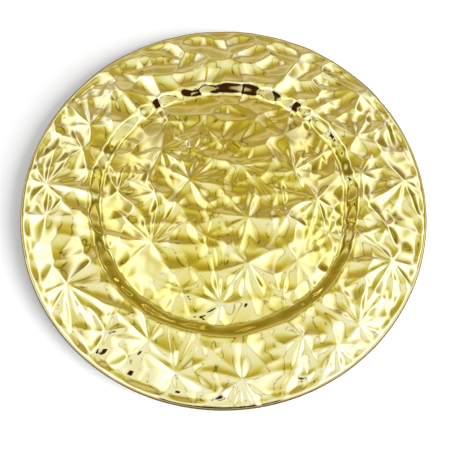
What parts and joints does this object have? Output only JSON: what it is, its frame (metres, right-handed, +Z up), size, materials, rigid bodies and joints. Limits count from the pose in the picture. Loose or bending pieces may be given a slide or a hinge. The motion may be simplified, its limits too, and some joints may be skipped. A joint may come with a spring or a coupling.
{
  "type": "charger plate",
  "caption": "Round gold charger plate with a crumpled-foil relief, a shallow well, a wired rolled edge and clear bumper pads underneath.",
  "frame": {"origin": "on the table under the centre of the plate", "axes": "+Z up out of the well, -Y towards the viewer of the picture, +X to the viewer's right"},
  "size_m": [0.33, 0.33, 0.0175],
  "materials": {
    "gold_lacquered_sheet": "bright pressed sheet under a gold-tinted lacquer, near mirror",
    "steel_wire": "drawn wire, bright",
    "clear_pad": "clear soft polyurethane, smooth"
  },
  "bodies": {
    "root": {"pressed_plate": "gold_lacquered_sheet", "rim_wire": "steel_wire", "bumper_pad_1": "clear_pad", "bumper_pad_2": "clear_pad", "bumper_pad_3": "clear_pad", "bumper_pad_4": "clear_pad"}
  },
  "joints": []
}
